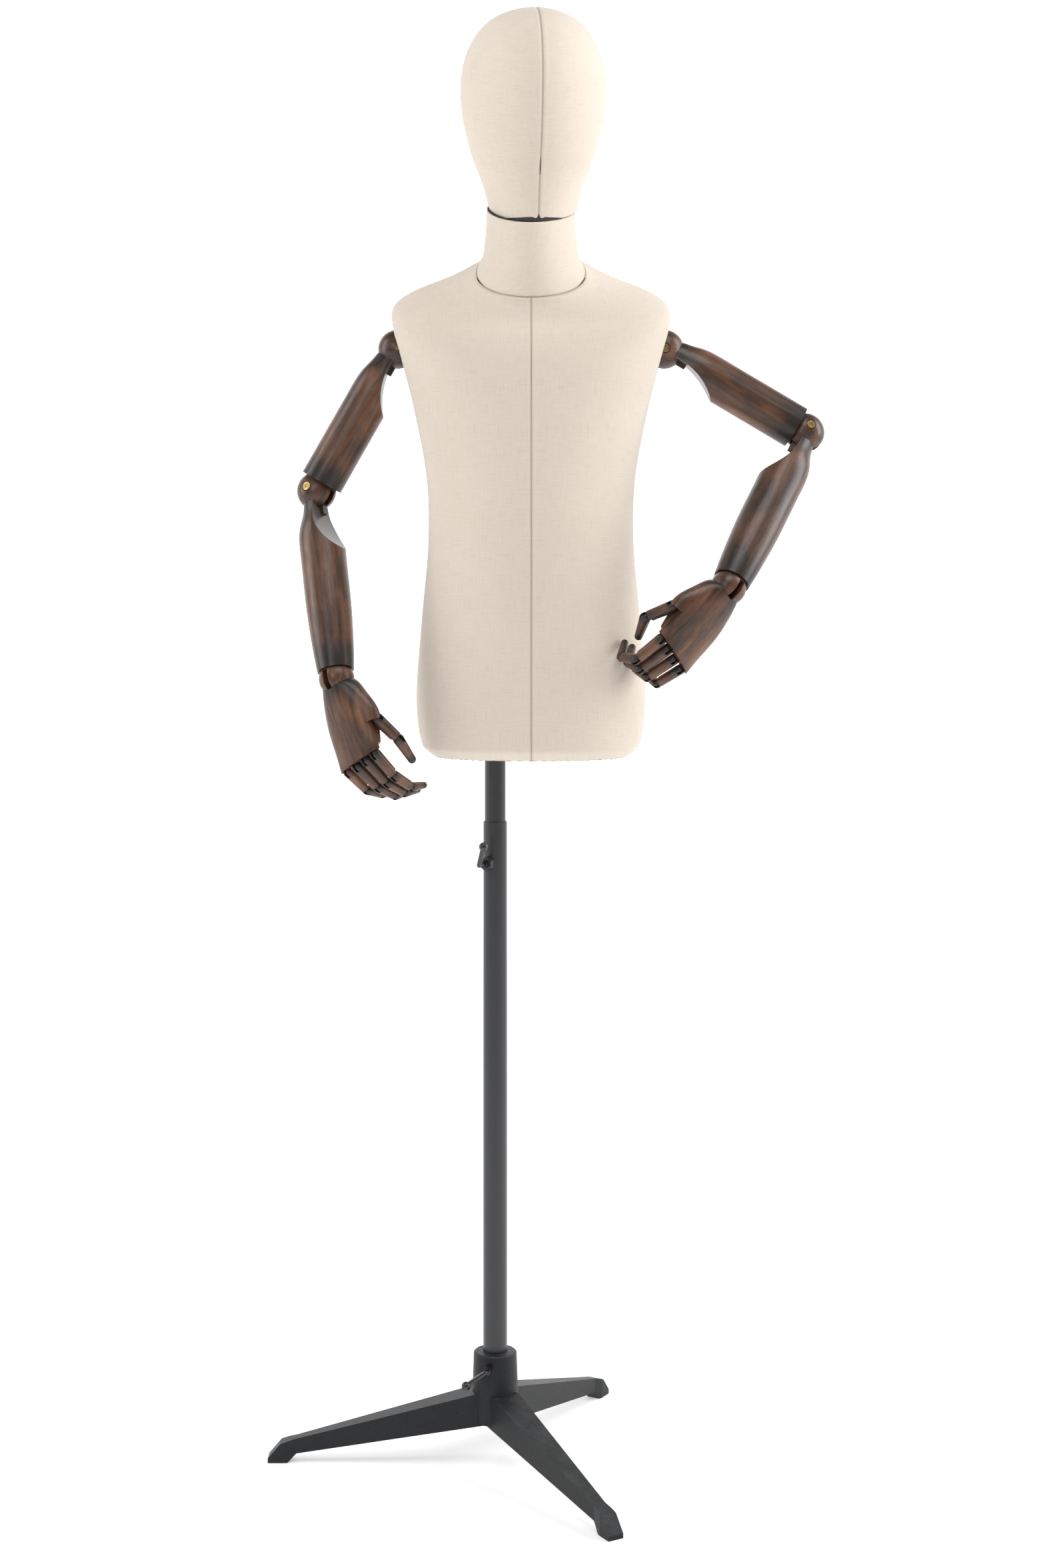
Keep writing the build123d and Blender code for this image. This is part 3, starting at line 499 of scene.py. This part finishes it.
def stained_wood(name, origin, lengthwise, across, length, hollow=None, tone=1.0, seed=0.0):
    """Dark walnut stain on turned wood: grain along the piece, cloudy orange and brown, black
    toning at its ends, and in a hollow cut a smooth surface without pores, its grey-brown a painted
    sheen."""
    wood = Finish(name, Roughness=0.4, Coat_Weight=0.22, Coat_Roughness=0.28,
                  Specular_IOR_Level=0.5)
    z_axis = Vector(lengthwise).normalized()
    y_axis = (Vector(across) - z_axis * Vector(across).dot(z_axis)).normalized()
    x_axis = y_axis.cross(z_axis)
    turn = Matrix((x_axis, y_axis, z_axis)).transposed().to_euler()
    local = wood.node("ShaderNodeMapping", {"vector_type": "TEXTURE"}, wood.place(),
                      tuple(origin), tuple(turn))
    x, y, z = wood.split(local)
    fine = wood.noise(wood.join(x * 420 + seed, y * 420, z * 16), 1.0, 4.0, 0.62, 0.4)
    figure = wood.noise(wood.join(x * 70, y * 70 + seed, z * 9), 1.0, 5.0, 0.6, 1.6)
    cloud = wood.noise(wood.join(x * 16, y * 16, z * 11 + seed), 1.6, 3.0, 0.55)
    pores = wood.step(wood.noise(wood.join(x * 900, y * 900 + seed, z * 30), 1.0, 2.0, 0.5),
                      0.60, 0.72)
    share = z / length
    ends = (1 - wood.step(share, 0.02, 0.24)).most(wood.step(share, 0.80, 1.0))
    depth = (cloud * 0.70 + figure * 0.50 + fine * 0.34 - 0.30 - ends * 0.26 * tone).clamp()
    body = wood.ramp(depth, (0.12, (0.008, 0.0065, 0.006)), (0.32, (0.026, 0.014, 0.0095)),
                     (0.46, (0.085, 0.036, 0.018)), (0.62, (0.185, 0.080, 0.038)),
                     (0.82, (0.36, 0.19, 0.105)))
    colour = wood.blend(pores * 0.55, body, (0.014, 0.010, 0.009))
    gloss = fine * 0.16 + cloud * 0.14 + 0.24
    if hollow:
        (x0, z0), radius = hollow
        away = ((x - x0) ** 2.0 + (z - z0) ** 2.0) ** 0.5
        cut = 1 - wood.step(abs(away - radius), 0.0003, 0.0009)
        # hollow cut: smooth and without pores, its lighter grey-brown colour a painted sheen
        smooth = wood.blend(fine, (0.075, 0.062, 0.056), (0.15, 0.130, 0.120))
        colour = wood.blend(cut, colour, smooth)
        pores = pores * (1 - cut)
    wood.feed(Base_Color=colour, Roughness=gloss)
    wood.relief(fine * 0.5 - pores * 0.7, 0.10)
    return wood.material


def bare_wood():
    """Unfinished beech with its grain along X."""
    wood = Finish("bare_beech", Roughness=0.6)
    x, y, z = wood.split(wood.place())
    grain = wood.noise(wood.join(x * 12, y * 160, z * 160), 1.0, 4.0)
    wood.feed(Base_Color=wood.ramp(grain, (0.3, (0.46, 0.31, 0.18)), (0.7, (0.68, 0.52, 0.34))))
    wood.relief(grain, 0.08)
    return wood.material


def shell_shade_felt():
    """Near-black felt colour on the hard shells: painted shade where a shell shows in the armholes.
    """
    felt = Finish("painted_shell_shade", Roughness=0.9)
    fuzz = felt.noise(felt.place(), 900.0, 3.0)
    felt.feed(Base_Color=felt.ramp(fuzz, (0.3, (0.03, 0.027, 0.024)), (0.7, (0.075, 0.066, 0.058))))
    felt.relief(fuzz, 0.15)
    return felt.material


def powder_coat():
    """Charcoal satin coat of the two tubes, with fine orange peel and light rubbing."""
    coat = Finish("charcoal_coat", Metallic=0.0, Specular_IOR_Level=0.55, Coat_Weight=0.15,
                  Coat_Roughness=0.3)
    place = coat.place()
    x, y, z = coat.split(place)
    peel = coat.noise(place, 1400.0, 2.0)
    rubbed = coat.step(coat.noise(coat.join(x * 90, y * 90, z * 6), 1.0, 4.0, 0.6), 0.60, 0.82)
    coat.feed(Base_Color=coat.blend(rubbed * 0.5, (0.028, 0.029, 0.032), (0.062, 0.063, 0.066)),
              Roughness=rubbed * 0.12 + peel * 0.08 + 0.30)
    coat.relief(peel, 0.03)
    return coat.material


def cast_iron():
    """Black paint on a sand casting: pitted, with dust on top."""
    iron = Finish("black_cast_iron", Metallic=0.35, Specular_IOR_Level=0.45)
    place = iron.place()
    grit = iron.noise(place, 620.0, 5.0, 0.7)
    pits = iron.step(iron.noise(place, 210.0, 3.0, 0.6), 0.60, 0.74)
    broad = iron.noise(place, 26.0, 4.0, 0.6)
    _, _, up = iron.split(iron.node("ShaderNodeNewGeometry", None, output=1))
    dust = iron.step(up, 0.15, 0.95) * iron.step(grit * 0.5 + broad * 0.5, 0.40, 0.62)
    colour = iron.blend(dust * 0.55, (0.014, 0.015, 0.017), (0.105, 0.108, 0.112))
    iron.feed(Base_Color=iron.blend(pits * 0.6, colour, (0.006, 0.006, 0.007)),
              Roughness=grit * 0.22 + dust * 0.12 + 0.36)
    iron.relief(grit * 0.6 + broad * 0.5 - pits * 0.5, 0.45)
    return iron.material


def gloss_black():
    """Glossy black paint, a little worn."""
    paint = Finish("gloss_black", Specular_IOR_Level=0.6, Coat_Weight=0.5, Coat_Roughness=0.1)
    wear = paint.step(paint.noise(paint.place(), 260.0, 4.0, 0.6), 0.62, 0.78)
    paint.feed(Base_Color=paint.blend(wear * 0.4, (0.012, 0.012, 0.013), (0.07, 0.068, 0.066)),
               Roughness=wear * 0.2 + 0.2)
    paint.relief(wear, -0.04)
    return paint.material


def metal(name, dark, light, roughness):
    """Plated steel or brass with fine turning marks and a little tarnish."""
    plate = Finish(name, Metallic=1.0)
    place = plate.place()
    marks = plate.noise(place, 1800.0, 3.0, 0.6)
    tarnish = plate.noise(place, 240.0, 4.0, 0.6)
    plate.feed(Base_Color=plate.blend(plate.step(tarnish, 0.35, 0.7), dark, light),
               Roughness=marks * 0.14 + roughness)
    plate.relief(marks, 0.02)
    return plate.material


# ---------------------------------------------------------------- dressing the frame
BALL_R, WRIST_BALL_R = 0.0206, 0.0182
UPPER_ARM_LENGTH, FOREARM_LENGTH, PALM_LENGTH = 0.162, 0.202, 0.105
SCOOP_R = 75.0
UPPER_ARM_SCOOP, FOREARM_SCOOP = ((3, 9), (23.0, 70)), ((3, 9), (23.8, 72))
SEED_STEP = 1.37             # shift of the grain from one piece to the next


def dress(node, material):
    """Puts one finish on a part of the frame."""
    mesh = bpy.data.objects[node].data
    mesh.materials.clear()
    mesh.materials.append(material)


def pos(joint):
    """A point on a joint's axis, in metres."""
    return Vector(JOINTS[joint]["pos_m"])


def axis(joint):
    """The direction of a joint's axis."""
    return Vector(JOINTS[joint]["axis"])


def centre_of(node):
    """The middle of a node's box, in metres."""
    low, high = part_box(node)
    return (Vector(low) + Vector(high)) / 2


def scoop_circle(start, finish):
    """Centre and radius, in the limb's own x and z, of the cylinder that cut its hollow."""
    (x0, z0), (x1, z1) = start, finish
    chord = Vector((x1 - x0, z1 - z0))
    away = Vector((chord.y, -chord.x)).normalized()
    rise = (SCOOP_R ** 2 - (chord.length / 2) ** 2) ** 0.5
    centre = (Vector((x0 + x1, z0 + z1)) / 2 + away * rise) * MM
    return (centre.x, centre.y), SCOOP_R * MM


def dress_arm(side):
    """Stained wood on every piece of one arm, with the grain along each, and brass screws."""
    shoulder, elbow, wrist = (pos(f"{side}_{j}_hinge") for j in ("shoulder", "elbow", "wrist"))
    fingers = ("index", "middle", "ring", "little")
    knuckles = sum((pos(f"{side}_{f}_proximal_hinge") for f in fingers), Vector()) / 4
    seed = 3.0 if side == "left" else 11.0
    pieces = [
        ("shoulder_ball", shoulder - axis(f"{side}_shoulder_swivel") * BALL_R,
         axis(f"{side}_shoulder_swivel"), axis(f"{side}_shoulder_hinge"), 2 * BALL_R, None, 0.5),
        ("upper_arm", shoulder, elbow - shoulder, axis(f"{side}_shoulder_hinge"),
         UPPER_ARM_LENGTH, scoop_circle(*UPPER_ARM_SCOOP), 1.0),
        ("elbow_ball", elbow - (elbow - shoulder).normalized() * BALL_R, elbow - shoulder,
         axis(f"{side}_elbow_hinge"), 2 * BALL_R, None, 0.5),
        ("forearm", elbow, wrist - elbow, axis(f"{side}_elbow_hinge"),
         FOREARM_LENGTH, scoop_circle(*FOREARM_SCOOP), 1.0),
        ("wrist_ball", wrist - (wrist - elbow).normalized() * WRIST_BALL_R, wrist - elbow,
         axis(f"{side}_wrist_hinge"), 2 * WRIST_BALL_R, None, 0.8),
        ("palm", wrist, knuckles - wrist, axis(f"{side}_wrist_hinge"), PALM_LENGTH, None, 0.9),
    ]
    for finger in fingers + ("thumb",):
        bones = ("proximal", "middle", "distal") if finger != "thumb" else ("proximal", "distal")
        for bone, after in zip(bones, bones[1:] + (None,)):
            node = f"{finger}_{bone}"
            start = pos(f"{side}_{node}_hinge")
            end = (pos(f"{side}_{finger}_{after}_hinge") if after
                   else start + (centre_of(f"{side}_{node}") - start) * 2)
            pieces.append((node, start, end - start, axis(f"{side}_{node}_hinge"),
                           (end - start).length, None, 0.8))
    for k, (node, origin, lengthwise, across, length, hollow, tone) in enumerate(pieces):
        dress(f"{side}_{node}", stained_wood(f"stained_{side}_{node}", origin, lengthwise, across,
                                             length, hollow, tone, seed + SEED_STEP * k))
    for joint in ("shoulder", "elbow"):
        dress(f"{side}_{joint}_screw", BRASS)


LINEN_CLOTH = linen_cloth()
BRASS = metal("bright_brass", (0.52, 0.36, 0.14), (0.80, 0.62, 0.30), 0.16)
ZINC = metal("zinc_plate", (0.34, 0.34, 0.35), (0.56, 0.56, 0.57), 0.28)


def cover(made, body, replaced, width, length):
    """Dresses one linen piece and hands it to the frame."""
    piece, area = made
    piece.data.materials.append(LINEN_CLOTH)
    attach(piece, body)
    if replaced:
        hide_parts(*replaced)
    print(f"{piece.name}: cut {width} x {length} m, area {area:.4f} square metres")


for side, name in SIDE_NAMES.items():
    cover(torso_half(side), "torso", [f"torso_cover_{name}"], 0.36, 0.56)
    cover(head_half(side), "head", [f"head_cover_{name}"], 0.30, 0.36)
    dress_arm(name)
cover(neck_linen(), "torso", ["neck_cover"], 0.36, 0.10)
cover(bottom_linen(), "torso", [], 0.22, 0.16)

dress("base_board", bare_wood())
dress("wood_blocks", bare_wood())
SHELL_SHADE = shell_shade_felt()
# the shells are coloured near-black as painted shade where they show in the armholes
for shell in ("torso_shell", "head_shell"):
    dress(shell, SHELL_SHADE)
for tube_name in ("lower_tube", "upper_tube"):
    dress(tube_name, powder_coat())
dress("tripod_base", cast_iron())
for clamp in ("base_clamp_screw", "height_clamp_screw"):
    dress(clamp, gloss_black())
for steel in ("pole_socket", "head_post"):
    dress(steel, ZINC)


# ---------------------------------------------------------------- studio
SENSOR, CAMERA_PLACE = 36.0, (0.0287, -2.606, 0.976)
FOCAL_SHARE, FRAME_SHIFT = 3723 / 2352, 380 / 2352   # of the frame's longer side
WORLD_STRENGTH = 0.22
LIGHTS = (   # name, place, aimed at, size, power
    ("side_left", (-2.2, -0.1, 1.7), (0, 0, 1.2), (1.0, 2.2), 24),
    ("side_right", (2.2, 0.0, 1.8), (0, 0, 1.2), (1.0, 2.2), 40),
    ("overhead", (0.4, -1.2, 3.0), (0, 0, 1.3), (1.6, 1.2), 22),
    ("front_fill", (-1.3, -3.0, 2.2), (0, 0, 1.2), (1.0, 1.6), 16))


def studio_floor():
    """A pale sweep: a flat floor that curves up into a wall far behind."""
    run = np.concatenate((np.linspace(-6.0, 4.0, 12), 4.0 + 2.0 * np.sin(np.linspace(0, 1.57, 16)),
                          np.full(4, 6.0)))
    rise = np.concatenate((np.zeros(12), 2.0 - 2.0 * np.cos(np.linspace(0, 1.57, 16)),
                           np.linspace(2.2, 6.0, 4)))
    wide = np.linspace(-9.0, 9.0, 3)
    points = np.stack(np.broadcast_arrays(wide[None, :], run[:, None], rise[:, None]), axis=-1)
    floor = new_piece("studio_floor", points.reshape(-1, 3) / MM, grid_faces(*points.shape[:2]))
    sweep = Finish("pale_sweep", Roughness=0.85, Specular_IOR_Level=0.1, Emission_Strength=1.0)
    place = sweep.place()
    mottle = sweep.noise(place, 3.0, 2.0)
    _, y, _ = sweep.split(place)
    glow = sweep.step(y, 0.9, 4.5)
    sweep.feed(Base_Color=sweep.blend(mottle, (0.93, 0.93, 0.93), (0.95, 0.95, 0.95)),
               Emission_Color=sweep.blend(glow, (0.36, 0.36, 0.36), (0.97, 0.97, 0.97)))
    floor.data.materials.append(sweep.material)


def soft_light(name, place, aim, size, power):
    """A white rectangular lamp at a place, turned to a point."""
    lamp = bpy.data.lights.new(name, "AREA")
    lamp.shape, lamp.size, lamp.size_y = "RECTANGLE", size[0], size[1]
    lamp.energy = power
    light = bpy.data.objects.new(name, lamp)
    light.location = place
    light.rotation_euler = (Vector(aim) - Vector(place)).to_track_quat("-Z", "Y").to_euler()
    bpy.context.scene.collection.objects.link(light)


def camera():
    """A level camera with its frame shifted down, so that upright lines stay upright."""
    lens = bpy.data.cameras.new("camera")
    lens.sensor_fit, lens.sensor_width = "AUTO", SENSOR
    lens.lens = SENSOR * FOCAL_SHARE
    lens.shift_y = -FRAME_SHIFT
    view = bpy.data.objects.new("camera", lens)
    view.location = CAMERA_PLACE
    view.rotation_euler = Euler((radians(90), 0, 0))
    bpy.context.scene.collection.objects.link(view)
    bpy.context.scene.camera = view


studio_floor()
world = bpy.data.worlds.new("studio_air")
bpy.context.scene.world = world
world.use_nodes = True
background = world.node_tree.nodes["Background"]
background.inputs[0].default_value = (1, 1, 1, 1)
background.inputs[1].default_value = WORLD_STRENGTH
for light in LIGHTS:
    soft_light(*light)
bpy.context.scene.view_settings.view_transform = "Standard"
camera()
